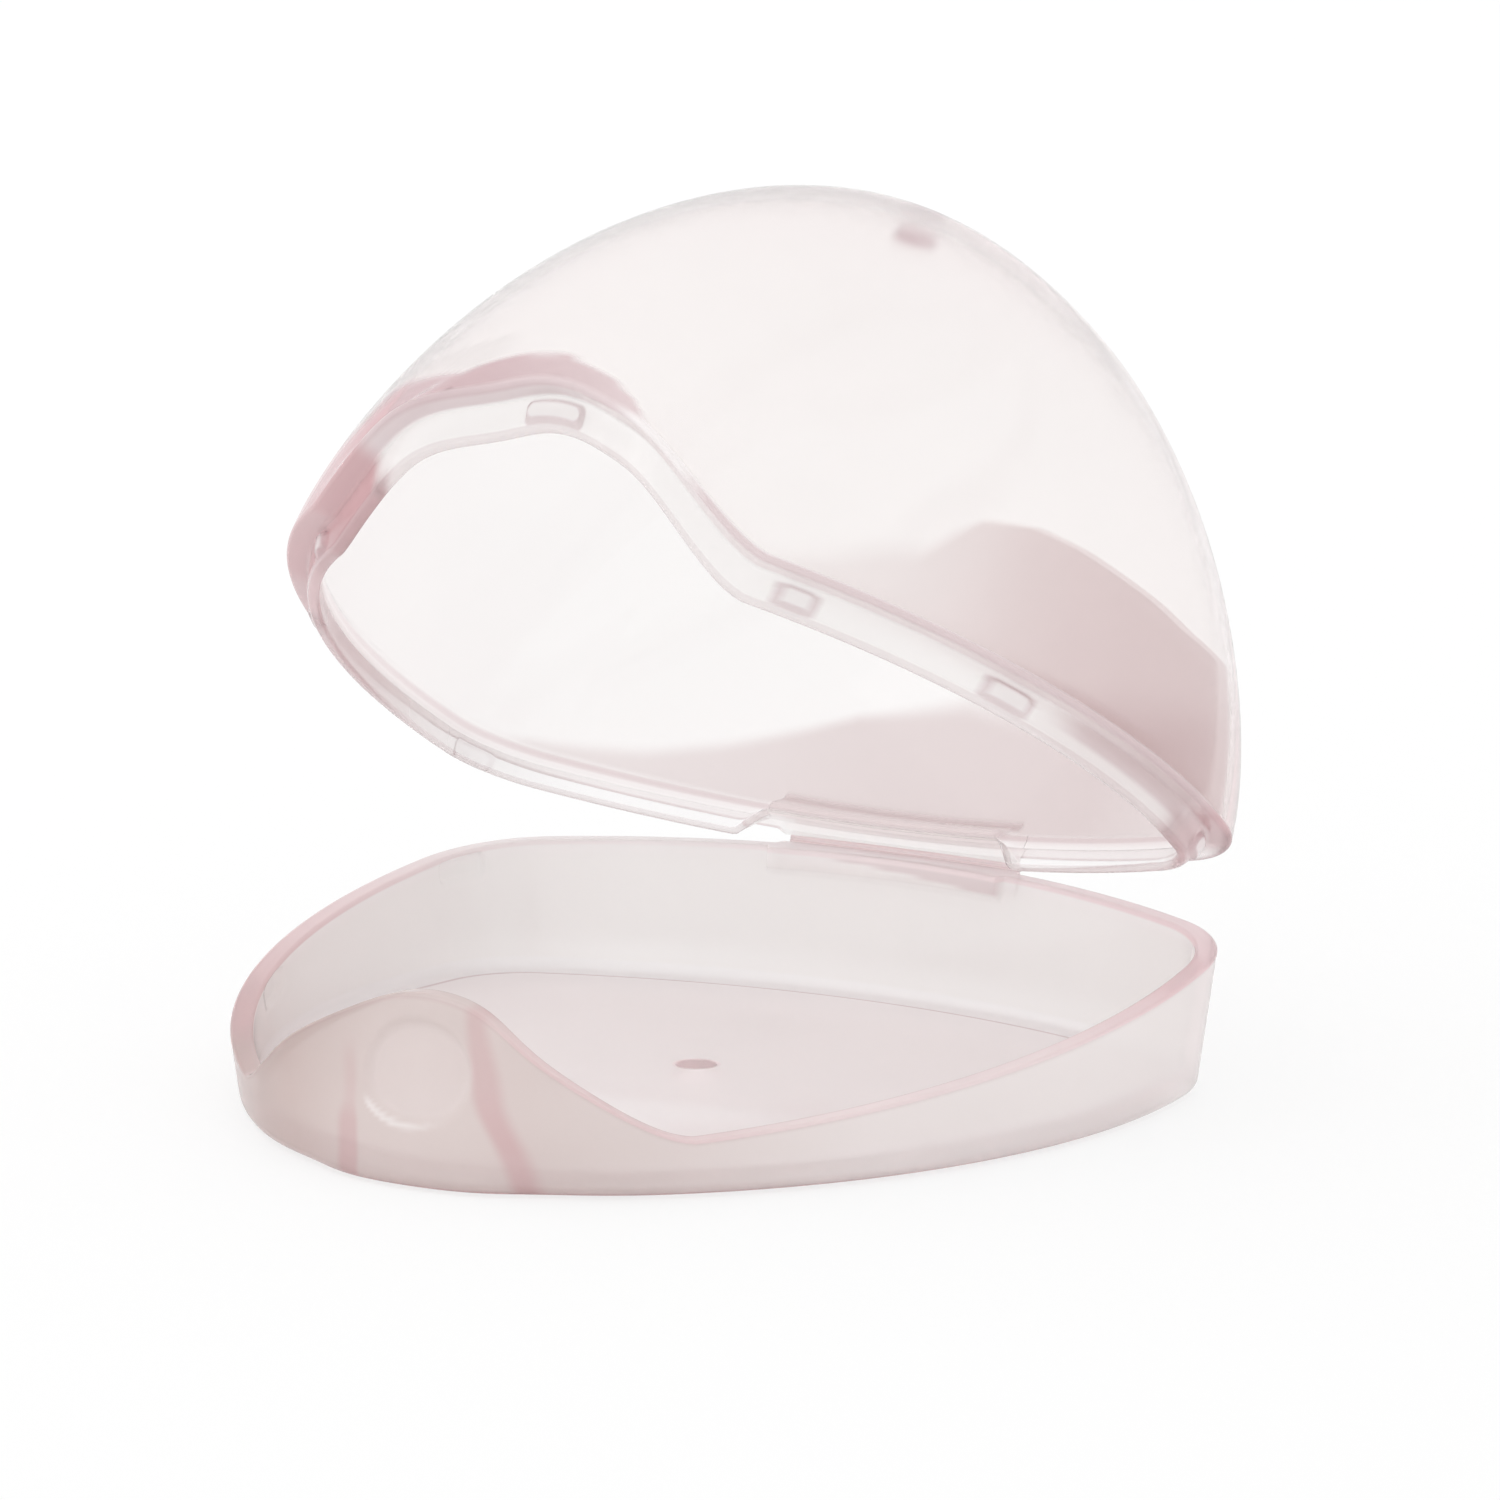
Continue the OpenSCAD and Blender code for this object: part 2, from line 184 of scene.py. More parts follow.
class Shape:
    """Everything that varies round the outline, as arrays over its points."""

    def __init__(self, steps):
        self.p, self.n = outline(steps)
        self.x, self.y = self.p.T
        front = self.y < 0
        self.tab = np.where(front, np.maximum(0, 1 - (self.x / TAB_HALF_W) ** 2) ** 1.5, 0)
        self.plane = BASE_H - np.tan(RIM_FALL * DEG) * (BACK_Y - self.y)
        self.rim = self.plane + TAB_RISE * self.tab
        self.scoop = np.where(front, np.exp(-((self.x / SCOOP_HALF_W) ** 4)), 0)
        self.leaf = np.where(self.y > 0, 1 - ease((abs(self.x) - HINGE_W / 2) / LEAF_END), 0)
        self.front = front
        self.turn = np.arctan2(self.y - TURN_Y, self.x) / DEG
        # Length along the outline, for the snap places
        step = np.linalg.norm(np.roll(self.p, -1, 0) - self.p, axis=1)
        self.along = np.concatenate([[0], np.cumsum(step)[:-1]])
        self.round = step.sum()
        self.snaps = [(0.0, MID_BUMP_W - BUMP_W)]
        for c, r, a, w in ((NOSE_C, NOSE_R, (FRONT_BUMP_AT - 90) * DEG, FRONT_BUMP_W),
                           (SIDE_C, SIDE_R, NOSE_END + (SIDE_END - NOSE_END) * SIDE_BUMP_AT, BUMP_W),
                           (CORNER_C, CORNER_R, REAR_BUMP_AT * DEG, BUMP_W)):
            spot = c + r * np.array([np.cos(a), np.sin(a)])
            s = self.along[np.argmin(np.linalg.norm(self.p - spot, axis=1))]
            self.snaps += [(s, w - BUMP_W), (self.round - s, w - BUMP_W)]

    def lean(self, z):
        """How far in the leaning wall stands at height z."""
        return np.tan(WALL_LEAN * DEG) * np.maximum(BASE_H - z, -BASE_WALL)

    def scoop_in(self, z):
        """How far in the scoop under the tab reaches at height z."""
        return self.scoop * (-SCOOP_FOOT + (SCOOP_TOP + SCOOP_FOOT) * z / self.rim)

    def dish(self, z):
        """Depth of the thumb dish at height z."""
        r = np.hypot(self.x * 2 / DISH_W, (z - DISH_Z) * 2 / DISH_H)
        return np.where(self.front, DISH_DEPTH * ease((1 - r) * 5), 0)

    def face(self, z):
        """Outer face at height z, as its distance in from the outline."""
        return self.lean(z) + self.scoop_in(z)

    def ring(self, d, z, dy=0.0):
        """Points at distance d in from the outline, at height z, moved back by dy."""
        q = self.p - self.n * (d * np.ones(len(self.p)))[:, None]
        return np.column_stack([q[:, 0], q[:, 1] + dy, z * np.ones(len(self.p))])

    def to_rail(self, d):
        """How far back the hinge leaf's flat face lies from the ring at distance d."""
        return self.leaf * (RAIL_Y - (self.y - self.n[:, 1] * d))

    def snap(self, z_below_rim, width, height, soft):
        """1 inside a rounded snap place, easing to 0 over soft at its border."""
        best = np.zeros(len(self.p))
        for s, longer in self.snaps:
            ds = abs((self.along - s + self.round / 2) % self.round - self.round / 2)
            dz = abs(z_below_rim - LIP_H / 2) * np.ones(len(self.p))
            corner = 0.75
            qx, qz = ds - ((width + longer) / 2 - corner), dz - (height / 2 - corner)
            dist = np.hypot(np.maximum(qx, 0), np.maximum(qz, 0)) + np.minimum(np.maximum(qx, qz), 0) - corner
            best = np.maximum(best, ease(-dist / soft))
        return best


class Rings(list):
    """Rings of one skin with the name of the zone each lies in."""

    def __init__(self):
        super().__init__()
        self.zones = []

    def add(self, zone, *rings):
        for q in rings:
            self.append(q)
            self.zones.append(zone)


def base_rings(s):
    """From the vent out under the floor, up the wall, over the rim, down the inside and back to the vent."""
    edge = RIM_ROUND
    rings = Rings()
    hole = VENT_D / 2
    a = np.arctan2(s.y - VENT_Y, s.x)
    circle = lambda r, z: np.column_stack([r * np.cos(a), VENT_Y + r * np.sin(a), z * np.ones(len(a))])
    foot = s.ring(s.face(0) + FOOT_R, 0)
    rings.add("vent", circle(hole, 0.25), circle(hole + 0.07, 0.07), circle(hole + 0.25, 0))
    for t in (0.01, 0.25, 0.5, 0.75, 0.9):
        rings.add("under", circle(hole + 0.25, 0) * (1 - t) + foot * t)
    for k in range(9):
        b = np.pi / 2 * k / 8
        z = FOOT_R * (1 - np.cos(b))
        rings.add("foot", s.ring(s.face(z) + FOOT_R * (1 - np.sin(b)), z))
    rows = 44
    for k in range(1, rows + 1):
        z = FOOT_R + (s.rim - edge - FOOT_R) * k / rows
        d = s.face(z) + s.dish(z)
        out = s.to_rail(d) * ease((z - BASE_H + 2.2) / 0.5)
        rings.add("wall", s.ring(d, z, out))
    top = s.face(s.rim)
    for k in range(1, 6):
        b = np.pi / 2 * k / 5
        z = s.rim - edge * (1 - np.sin(b))
        d = top + edge * (1 - np.cos(b))
        rings.add("rim", s.ring(d, z, s.to_rail(d) * np.cos(b) + s.to_rail(top) * (1 - np.cos(b))))
    inner = BASE_WALL + LEAF_T * s.leaf
    for k in range(1, 4):
        rings.add("rim", s.ring(top + edge + (inner - 2 * edge) * k / 4, s.rim, s.to_rail(top) * (1 - k / 4)))
    for k in range(6):
        b = np.pi / 2 * (1 - k / 5)
        rings.add("rim", s.ring(top + inner - edge * (1 - np.cos(b)), s.rim - edge * (1 - np.sin(b))))
    low = np.minimum(FLOOR_T + FLOOR_R, FLOOR_T + (s.rim - FLOOR_T) * 0.45)
    rows = 26
    for k in range(1, rows + 1):
        z = (s.rim - edge) + (low - s.rim + edge) * (k / rows) ** 1.2
        below = s.rim - z
        pad = LEAF_T * s.leaf * (1 - ease((below - BASE_LEAF_H) / 0.35))
        d = s.face(z) + BASE_WALL + pad - POCKET_D * s.snap(below, BUMP_W + 0.3, BUMP_H + 0.3, 0.35)
        rings.add("inside", s.ring(d, z))
    for k in range(1, 8):
        b = np.pi / 2 * k / 7
        q = s.ring(s.face(low) + BASE_WALL + FLOOR_R * (1 - np.cos(b)), low + (FLOOR_T - low) * np.sin(b))
        rings.add("fillet", q)
    floor = rings[-1]
    mouth = circle(hole + 0.1, FLOOR_T)
    for t in (0.002, 0.011, 0.015, 0.12, 0.3, 0.55, 0.8, 0.99):
        rings.add("edge" if t < 0.012 else "floor", floor * (1 - t) + mouth * t)
    rings.add("vent", mouth, circle(hole + 0.03, FLOOR_T - 0.03), circle(hole, FLOOR_T - 0.12))
    return rings


class Dome:
    """The lid's outer and inner surfaces in the closed position."""

    def __init__(self, s):
        self.s = s
        self.start = np.arcsin((TAB_RISE * s.tab / (CASE_H - s.plane - SEAM_GAP)) ** (1 / RISE_POWER))
        self.move = s.ring(s.face(s.rim), 0) - self.smooth(0, self.start)

    def plan(self, d):
        """Foot of the surface d below the outer face: heights, points about the crown and their reach in the egg."""
        s = self.s
        w = s.ring(s.lean(s.plane) + d, s.plane + SEAM_GAP)
        v = w[:, :2] - [0, CROWN_Y]
        e = np.column_stack([v[:, 0] / EGG_SIDE, v[:, 1] / np.where(v[:, 1] < 0, EGG_FRONT, EGG_BACK)])
        return w[:, 2], v, np.linalg.norm(e, axis=1)

    def smooth(self, d, t):
        """Points of the plain dome, d below the outer face, at the angles t from the rim's plane to the crown."""
        foot, v, reach = self.plan(d)
        egg = v / reach[:, None]
        sin, cos = np.maximum(np.sin(t), 0), np.maximum(np.cos(t), 0)
        q = (v + (egg - v) * (sin**EGG_POWER)[:, None]) * (cos**PLAN_POWER)[:, None]
        return np.column_stack([q[:, 0], q[:, 1] + CROWN_Y, foot + (CASE_H - d - foot) * sin**RISE_POWER])

    def ring(self, f, d):
        """f from 0 at the rim to 1 at the crown, d below the outer face."""
        t = self.start + (np.pi / 2 - self.start) * f
        q = self.smooth(d, t)
        m = self.move * (1 - ease((q[:, 2] - self.s.rim) / BROW_H))[:, None]
        return np.column_stack([q[:, 0] + m[:, 0], q[:, 1] + m[:, 1], q[:, 2]])

    def height(self, x, y, d):
        """Height of the surface over points near the crown."""
        foot, v, reach = self.plan(d)
        size = np.linalg.norm(v, axis=1)
        egg = size / reach
        turn = np.arctan2(v[:, 1], v[:, 0])
        order = np.argsort(turn)
        at = lambda values: np.interp(np.arctan2(y - CROWN_Y, x), turn[order], values[order], period=2 * np.pi)
        size, egg, foot = at(size), at(egg), at(foot)
        r = np.hypot(x, y - CROWN_Y)
        low, high = np.full(len(x), 0.3), np.full(len(x), np.pi / 2)
        for _ in range(50):
            t = (low + high) / 2
            sin, cos = np.sin(t), np.cos(t)
            far = (size + (egg - size) * sin**EGG_POWER) * cos**PLAN_POWER > r
            low, high = np.where(far, t, low), np.where(far, high, t)
        return foot + (CASE_H - d - foot) * np.sin(low) ** RISE_POWER

    def crown(self, start, d):
        """Rings from the ring start in to the vent, over the surface d below the outer face."""
        hole = VENT_D / 2
        a = np.arctan2(start[:, 1] - VENT_Y, start[:, 0])
        rings = []
        for u in np.concatenate([np.linspace(0, 1, 15)[1:-1], [0.965, 1]]):
            r = hole + 0.18
            x = start[:, 0] * (1 - u) + r * np.cos(a) * u
            y = start[:, 1] * (1 - u) + (VENT_Y + r * np.sin(a)) * u
            rings.append(np.column_stack([x, y, self.height(x, y, d)]))
        for r, drop in ((hole + 0.05, 0.05), (hole, 0.18)):
            x, y = r * np.cos(a), VENT_Y + r * np.sin(a)
            rings.append(np.column_stack([x, y, self.height(x, y, d) + (drop if d else -drop)]))
        return rings


def lid_rings(s):
    """From the inner crown down the inside, round the lip and up the outside."""
    dome = Dome(s)
    edge = LID_ROUND
    rows = 72
    last = int(rows * 0.80)  # The dome's own rows end here and the crown's begin
    f = (np.arange(rows) / rows) ** 1.35
    root = BASE_WALL + LIP_GAP
    seam = s.rim + SEAM_GAP
    top = s.face(s.rim)
    deep = np.where(s.front, LIP_H, np.minimum(LIP_H, SEAM_GAP / 2 + LIP_END_SLOPE * np.maximum(
        0, abs(s.x) - HINGE_W / 2 - LEAF_END)))
    deep = np.minimum(deep, s.rim - FLOOR_T)
    rings = Rings()
    rings.add("crown", *dome.crown(dome.ring(f[last], LID_WALL), LID_WALL)[::-1])
    for k in range(last, 1, -1):
        above = dome.ring(f[k], LID_WALL)[:, 2] - seam
        thick = LID_WALL + (root + LIP_T - LID_WALL) * (1 - ease((above - 0.4) / 1.8))
        pad = 0.9 * s.leaf * (1 - ease((above - LID_LEAF_H + 0.4) / 1.2))
        rings.add("inside", dome.ring(f[k], thick + pad))
    r = 0.3 * np.minimum(1, deep)  # Rounding of the lip's end
    for k in range(4, 14):
        u = k / 13
        rings.add("lip_back", s.ring(top + root + LIP_T + LIP_TAPER * u, seam - (deep - r) * u))
    inner = root + LIP_TAPER + LIP_T
    for k in range(1, 5):
        b = np.pi / 2 * k / 4
        rings.add("lip_end", s.ring(top + inner - r * (1 - np.cos(b)), seam - deep + r * (1 - np.sin(b))))
    for k in range(5):
        b = np.pi / 2 * (1 - k / 4)
        rings.add("lip_end", s.ring(top + inner - LIP_T + r * (1 - np.cos(b)), seam - deep + r * (1 - np.sin(b))))
    rows_lip = 22
    for k in range(1, rows_lip):
        low = (deep - r) * (1 - k / rows_lip)
        # A little bolder than in the CAD source, so that they catch the light
        bump = BUMP_D * 1.5 * s.snap(low, BUMP_W, BUMP_H, 0.3) * (deep > 1.5)
        rings.add("lip", s.ring(top + root + LIP_TAPER * low / LIP_H - bump, seam - low))
    rings.add("lip", s.ring(top + root, seam))
    for k in (3, 2, 1):
        rings.add("rim", s.ring(top + edge + (root - edge) * k / 4, seam))
    for k in range(6):
        b = np.pi / 2 * (1 - k / 5)
        d = top + edge * (1 - np.cos(b))
        rings.add("edge", s.ring(d, seam + edge * (1 - np.sin(b)), s.to_rail(d) - FILM_GAP * s.leaf))
    # The shell starts where the dome has risen to the top of the round edge
    low, high = np.zeros(len(s.p)), np.full(len(s.p), 0.3)
    for _ in range(30):
        half = (low + high) / 2
        under = dome.ring(half, 0)[:, 2] < seam + edge
        low, high = np.where(under, half, low), np.where(under, high, half)
    for k in range(2, last + 1):
        q = dome.ring(low + (1 - low) * f[k], 0)
        q[:, 1] += (s.to_rail(top) - FILM_GAP * s.leaf) * (1 - ease((q[:, 2] - seam) / 3.0))
        rings.add("shell", q)
    rings.add("crown", *dome.crown(rings[-1], 0))
    return rings


def near(value, centre, half, soft):
    """1 within half of the centre, easing to 0 over soft beyond it."""
    return 1 - ease((abs(value - centre) - half) / soft)


def blend_to(color, target, share):
    """Colours moved to the target by a share, one for all or one for each."""
    return color + (np.array(target) - color) * np.asarray(share)[..., None]


def along(turn, knots):
    """Value at each turn between (turn, value) knots."""
    at, values = zip(*knots)
    return np.interp(turn, at, values, period=360)


def smooth(value, at, values, soft):
    """Values between knots, with the bends rounded over soft."""
    shifts = np.linspace(-soft, soft, 9)
    return np.mean([np.interp(value + d, at, values) for d in shifts], axis=0)


def base_tint(s, q, zone):
    """Colour and clearness at each point of the tray: rosier where the moulding is thick or rounded, with painted
    shade round its front and left and painted light on the dish and the inner fillet.
    """
    x, y, z = q.T
    c = np.ones((len(x), 3)) * (1.0, 0.985, 0.978)
    milk = np.full(len(x), TRAY_MILK[zone])
    below = s.rim - z
    if zone in ("wall", "foot", "rim"):
        # Painted shade: greyer and darker round the front and left of the tray
        c = blend_to(c, WARM_SHADE, along(s.turn, TRAY_SHADE))
        # Where the scoop's flanks turn away the wall is thick
        side = smooth(z, (0.6, 2.2, 4.5, 6.3, 9.3, 13.1), (9.7, 9.2, 8.0, 6.6, 5.9, 4.5), 1.2)
        wide = smooth(z, (0.6, 2.2, 4.5, 8.0, 13.1), (0.2, 0.3, 0.4, 0.6, 0.1), 1)
        share = np.interp(z, (0, 2, 4, 6, 8, 12), (0.6, 0.55, 0.65, 0.6, 0.5, 0.45)) * (1 - ease((z - 13) / 2))
        c = blend_to(c, BLUSH, share * s.front * near(x, side, wide, np.where(x < side, 1.2, 1.7)))
        side = smooth(z, (1.3, 4.5, 6.3, 9.9), (-5.3, -5.9, -5.8, -6.4), 1)
        wide = smooth(z, (1.3, 4.5, 5.5), (0.6, 0.5, 0.1), 0.6)
        share = (1 - 0.5 * ease((z - 4) / 2)) * (1 - ease((z - 8) / 3))
        c = blend_to(c, BLUSH, 0.5 * s.front * near(x, side, wide, np.where(x < side, 1.1, 0.7)) * share)
        # Light on the dish and on its lower edge
        r = np.hypot(x * 2 / DISH_W, (z - DISH_Z) * 2 / DISH_H)
        low = (s.front * near(r, 0.97, 0.02, 0.06) * ease((DISH_Z - 1.8 - z) / 1.2) * ease(x + 5)
               * (1 - ease((x + 1) / 4.5)))
        c = blend_to(c, (1, 0.98, 0.97), 0.7 * low)
        c = blend_to(c, (0.9, 0.82, 0.81), 0.35 * s.front * (1 - ease((r - 0.75) / 0.2)))
    if zone == "rim":
        c = blend_to(c, PETAL, along(s.turn, TRAY_RIM))
    if zone == "wall":
        c = blend_to(c, ROSE, 0.35 * (1 - ease(below / 0.6)))
    if zone == "foot":
        c = blend_to(c, BLUSH, 0.8 * (1 - ease((z - 0.12) / 0.2)) * along(s.turn, TRAY_FOOT))
    if zone in ("inside", "wall"):
        # Clearer at the rear, and most of all low down: painted light on the lower rear wall
        milk = milk * (1 - along(s.turn, TRAY_REAR_LIGHT) * (0.15 + 0.35 * (1 - ease((z - 2.5) / 2.5))))
    if zone == "inside":
        c = blend_to(c, (0.985, 0.98, 0.965), ease(below - 0.5))
        # The hinge leaf's pink wedge
        wedge = 1.55 * np.clip((x + 10) / 21.5, 0, 1)
        c = blend_to(c, ROSE, 0.4 * s.leaf * (1 - ease((below - wedge) / 0.2)))
    if zone == "fillet":
        # Painted highlight: the fillet above the floor is white, and clearer round the rear
        c[:] = WHITE
        milk = milk * (1 - 0.7 * along(s.turn, FILLET_HIGHLIGHT))
    if zone == "edge":
        c = blend_to(c, ROSE, 0.5)
    if zone == "floor":
        c[:] = (1, 0.96, 0.96)
    if zone == "vent":
        c[:] = (1, 0.85, 0.86)
    return np.column_stack([c, 1 - milk])


def lid_shade_zone(s, q, wall):
    """Painted shade, darker and rosier, round the rear and one side of the lid: place against its upper edge, and
    depth of its tint.
    """
    x, y, z = q.T
    turn = np.arctan2(y - TURN_Y, x) / DEG
    knots, height, soft, deep = np.transpose(SHADE_ZONE)
    at = lambda values: np.interp(turn, knots, values, period=360)
    lift = BASE_H - 12  # The zone's heights are measured for a tray of 12 mm
    # It stays off the rear's lowest strip
    foot = ease((y - 18) / 4) * (1 - ease((z - s.rim - SEAM_GAP - 1.2) / 0.8))
    return np.vstack([(z - lift - at(height)) / at(soft), at(deep) * wall * (1 - foot) / 1.2])


def lid_tint(s, q, zone):
    """Colour and clearness at each point of the lid."""
    x, y, z = q.T
    c = np.ones((len(x), 3)) * (1.0, 0.99, 0.983)
    milk = np.full(len(x), LID_MILK[zone])
    above = z - s.rim - SEAM_GAP
    turn = s.turn
    # Thick plastic at the front left corner
    corner = ease((-111 - turn) / 3) * (1 - ease((-150 - turn) / 12)) * (s.y < TURN_Y)
    line = along(turn, LID_EDGE)
    if zone == "rim":
        c = blend_to(c, ROSE, along(turn, LID_RIM))
    if zone == "edge":
        c = blend_to(c, ROSE, line)
    if zone == "shell":
        c = blend_to(c, ROSE, 0.8 * line * (1 - ease(above / 0.6)))
        # The ledge over the thumb tab, rosier under its crest, with painted shade in cool grey above the crest up to
        # the ridge, whose crisp top edge stands out as a highlight line
        crest = np.interp(x, CREST_X, CREST_Z)
        ridge = np.interp(x, RIDGE_X, RIDGE_Z)
        crest_shade = (s.front * ease((z - crest + 0.3) / 0.6) * (1 - ease((z - ridge) / 0.3)) * ease((x + 18) / 2)
                * (1 - ease((x + 7) / 4)))
        c = blend_to(c, COOL_SHADE, 0.5 * crest_shade)
        crisp = np.interp(x, (-17, -7), (2.0, 0.5))
        brow = s.front * ease((crest - z) / crisp) * ease((11.5 - x) / 3) * ease((x + 32) / 6)
        c = blend_to(c, ROSE, brow * np.interp(x, (-20, -6, 10), (0.8, 0.78, 0.55)))
        thick = corner * (1 - ease((above - 5) / 5))
        c = blend_to(c, BLUSH, 0.85 * thick)
        milk = np.maximum(milk + 0.5 * brow, 0.9 * thick)
    if zone in ("rim", "edge", "lip", "lip_end", "lip_back"):
        c = blend_to(c, BLUSH, (0.95 if zone in ("lip", "lip_back") else 0.7) * corner)
        tip = near(turn, 26, 4, 7)
        c = blend_to(c, BLUSH, 0.6 * tip)
        side = (1 - corner) * along(turn, LID_SIDE)
        c = blend_to(c, BLUSH, 0.45 * side)
        milk = np.maximum(milk, np.maximum(0.5 * side, 0.75 * np.maximum(tip, corner)))
    if zone in ("rim", "edge"):
        milk = np.maximum(milk * (1 - 0.9 * along(turn, EDGE_REAR)), 0.95 * ease((-80 - turn) / 10))
    if zone == "lip_end":
        c = blend_to(c, ROSE, 0.2)
    if zone == "lip":
        low = s.rim + SEAM_GAP - z
        shade = ease((turn + 14) / 10) * (1 - ease((turn - 18) / 6)) * (1 - ease((low - 1.0) / 0.6))
        c = blend_to(c, LIP_SHADE, 0.8 * shade)
        # The snap bumps, with painted shade: pale grey on their faces and darker round their border
        body = s.snap(low, BUMP_W - 0.2, BUMP_H - 0.2, 0.3)
        border = s.snap(low, BUMP_W + 0.4, BUMP_H + 0.4, 0.25) - s.snap(low, BUMP_W - 0.5, BUMP_H - 0.5, 0.25)
        c = blend_to(c, (0.88, 0.85, 0.85), 0.7 * body)
        c = blend_to(c, (0.60, 0.44, 0.46), 0.6 * border)
    if zone == "crown":
        hole = np.hypot(x, y - VENT_Y)
        # Painted shade in the vent hole and round its edge
        c = blend_to(c, (0.3, 0.12, 0.15), 1 - ease((hole - VENT_D / 2 - 0.1) / 0.3))
    if zone == "inside":
        pad = s.leaf * (1 - ease((above - LID_LEAF_H - 0.2) / 1.2))
        c = blend_to(c, BLUSH, 0.35 * pad)
        c = blend_to(c, ROSE, 0.5 * (1 - s.leaf) * along(turn, INNER_LINE) * near(above, 0.6, 0.2, 0.4))
        milk = milk + 0.5 * pad
    if zone in ("lip_back", "lip"):
        thin = along(turn, LIP_REAR)
        c = blend_to(c, WHITE, thin)
        milk = milk * (1 - 0.9 * thin)
    if zone not in ("inside", "shell", "crown"):
        c = blend_to(c, (0.95, 0.93, 0.92), 0.95 * s.leaf)
        milk = milk * (1 - 0.65 * s.leaf)
    return np.column_stack([c, 1 - np.minimum(milk, 1)])


def skin(name, rings, ends=None, closed=False, fields=None):
    """Mesh object from rings of points in millimetres; ends are the two closing points, closed joins last to first.

    Fields are values or colours for each point, by name.
    """
    n, m = len(rings[0]), len(rings)
    verts = np.vstack(rings)
    i = np.arange(n)
    j = (i + 1) % n
    faces = []
    for k in range(m if closed else m - 1):
        a, b = k * n, (k + 1) % m * n
        faces.append(np.column_stack([a + i, a + j, b + j, b + i]))
    faces = np.vstack(faces).tolist()
    if ends is not None:
        verts = np.vstack([verts, ends])
        faces += [[n * m, int((u + 1) % n), int(u)] for u in i]
        faces += [[n * m + 1, int((m - 1) * n + u), int((m - 1) * n + (u + 1) % n)] for u in i]
    mesh = bpy.data.meshes.new(name)
    mesh.from_pydata((verts * MM).tolist(), [], faces)
    mesh.validate()
    mesh.update()
    for field, values in (fields or {}).items():
        if values.ndim == 1:
            layer = mesh.attributes.new(field, "FLOAT", "POINT")
            layer.data.foreach_set("value", values.astype(np.float32))
        else:
            layer = mesh.attributes.new(field, "FLOAT_COLOR", "POINT")
            layer.data.foreach_set("color", np.column_stack([values, np.ones(len(values))]).astype(np.float32).ravel())
    mesh.polygons.foreach_set("use_smooth", [True] * len(mesh.polygons))
    piece = bpy.data.objects.new(name, mesh)
    bpy.context.scene.collection.objects.link(piece)
    return piece


def looks(tint, clear, zone=None, deep=None):
    """Fields of a skin: its colour, its clearness, and the place and depth of a zone of painted shade where it has
    one.
    """
    none = np.zeros(len(clear))
    return {"tint": tint, "clear": clear, "zone": none + NO_SHADE if zone is None else zone,
            "deep": none if deep is None else deep}


def open_lid(piece):
    """Turns the lid from the closed position to the one at rest."""
    turn = (Matrix.Translation((0, HINGE_Y * MM, BASE_H * MM)) @ Matrix.Rotation(-OPEN_ANGLE * DEG, 4, "X")
            @ Matrix.Translation((0, -HINGE_Y * MM, -BASE_H * MM)))
    piece.data.transform(turn)


def web():
    """The thin film that bends between the two leaves, a band wrapped round the hinge line."""
    half = HINGE_W / 2 - WEB_CLEAR
    turns = np.linspace(-112, 112, 33) * DEG
    back = turns[::-1]
    band = np.vstack([np.column_stack([WEB_OUT * np.cos(turns), WEB_OUT * np.sin(turns)]),
                      np.column_stack([WEB_IN * np.cos(back), WEB_IN * np.sin(back)])])
    rows = 48
    rings = []
    for k in range(rows + 1):
        x = -half + 2 * half * k / rows
        rings.append(np.column_stack([np.full(len(band), x), HINGE_Y + band[:, 0], BASE_H + band[:, 1]]))
    # Both ends are drawn in a little
    for k in (0, -1):
        middle = rings[k].mean(0)
        rings[k] = middle + (rings[k] - middle) * 0.72
    # The bend at rest is shared out over the web's height
    lift = np.clip((rings[0][:, 2] - BASE_H) / (2 * WEB_OUT) + 0.5, 0, 1)
    turn = -OPEN_ANGLE * DEG * (lift * lift * (3 - 2 * lift))
    for q in rings:
        y, z = q[:, 1] - HINGE_Y, q[:, 2] - BASE_H
        q[:, 1], q[:, 2] = HINGE_Y + y * np.cos(turn) - z * np.sin(turn), BASE_H + y * np.sin(turn) + z * np.cos(turn)
    count = len(band) * len(rings) + 2
    fields = looks(np.ones((count, 3)) * (1, 0.94, 0.94), np.full(count, 0.85))
    return skin("hinge_web", rings[::-1], ends=[rings[-1].mean(0), rings[0].mean(0)], fields=fields)


def node(tree, kind, **values):
    """New node with its settings and plain input values, where _ in a name stands for a space."""
    made = tree.nodes.new(kind)
    for key, value in values.items():
        if hasattr(made, key):
            setattr(made, key, value)
        else:
            made.inputs[key.replace("_", " ")].default_value = value
    return made


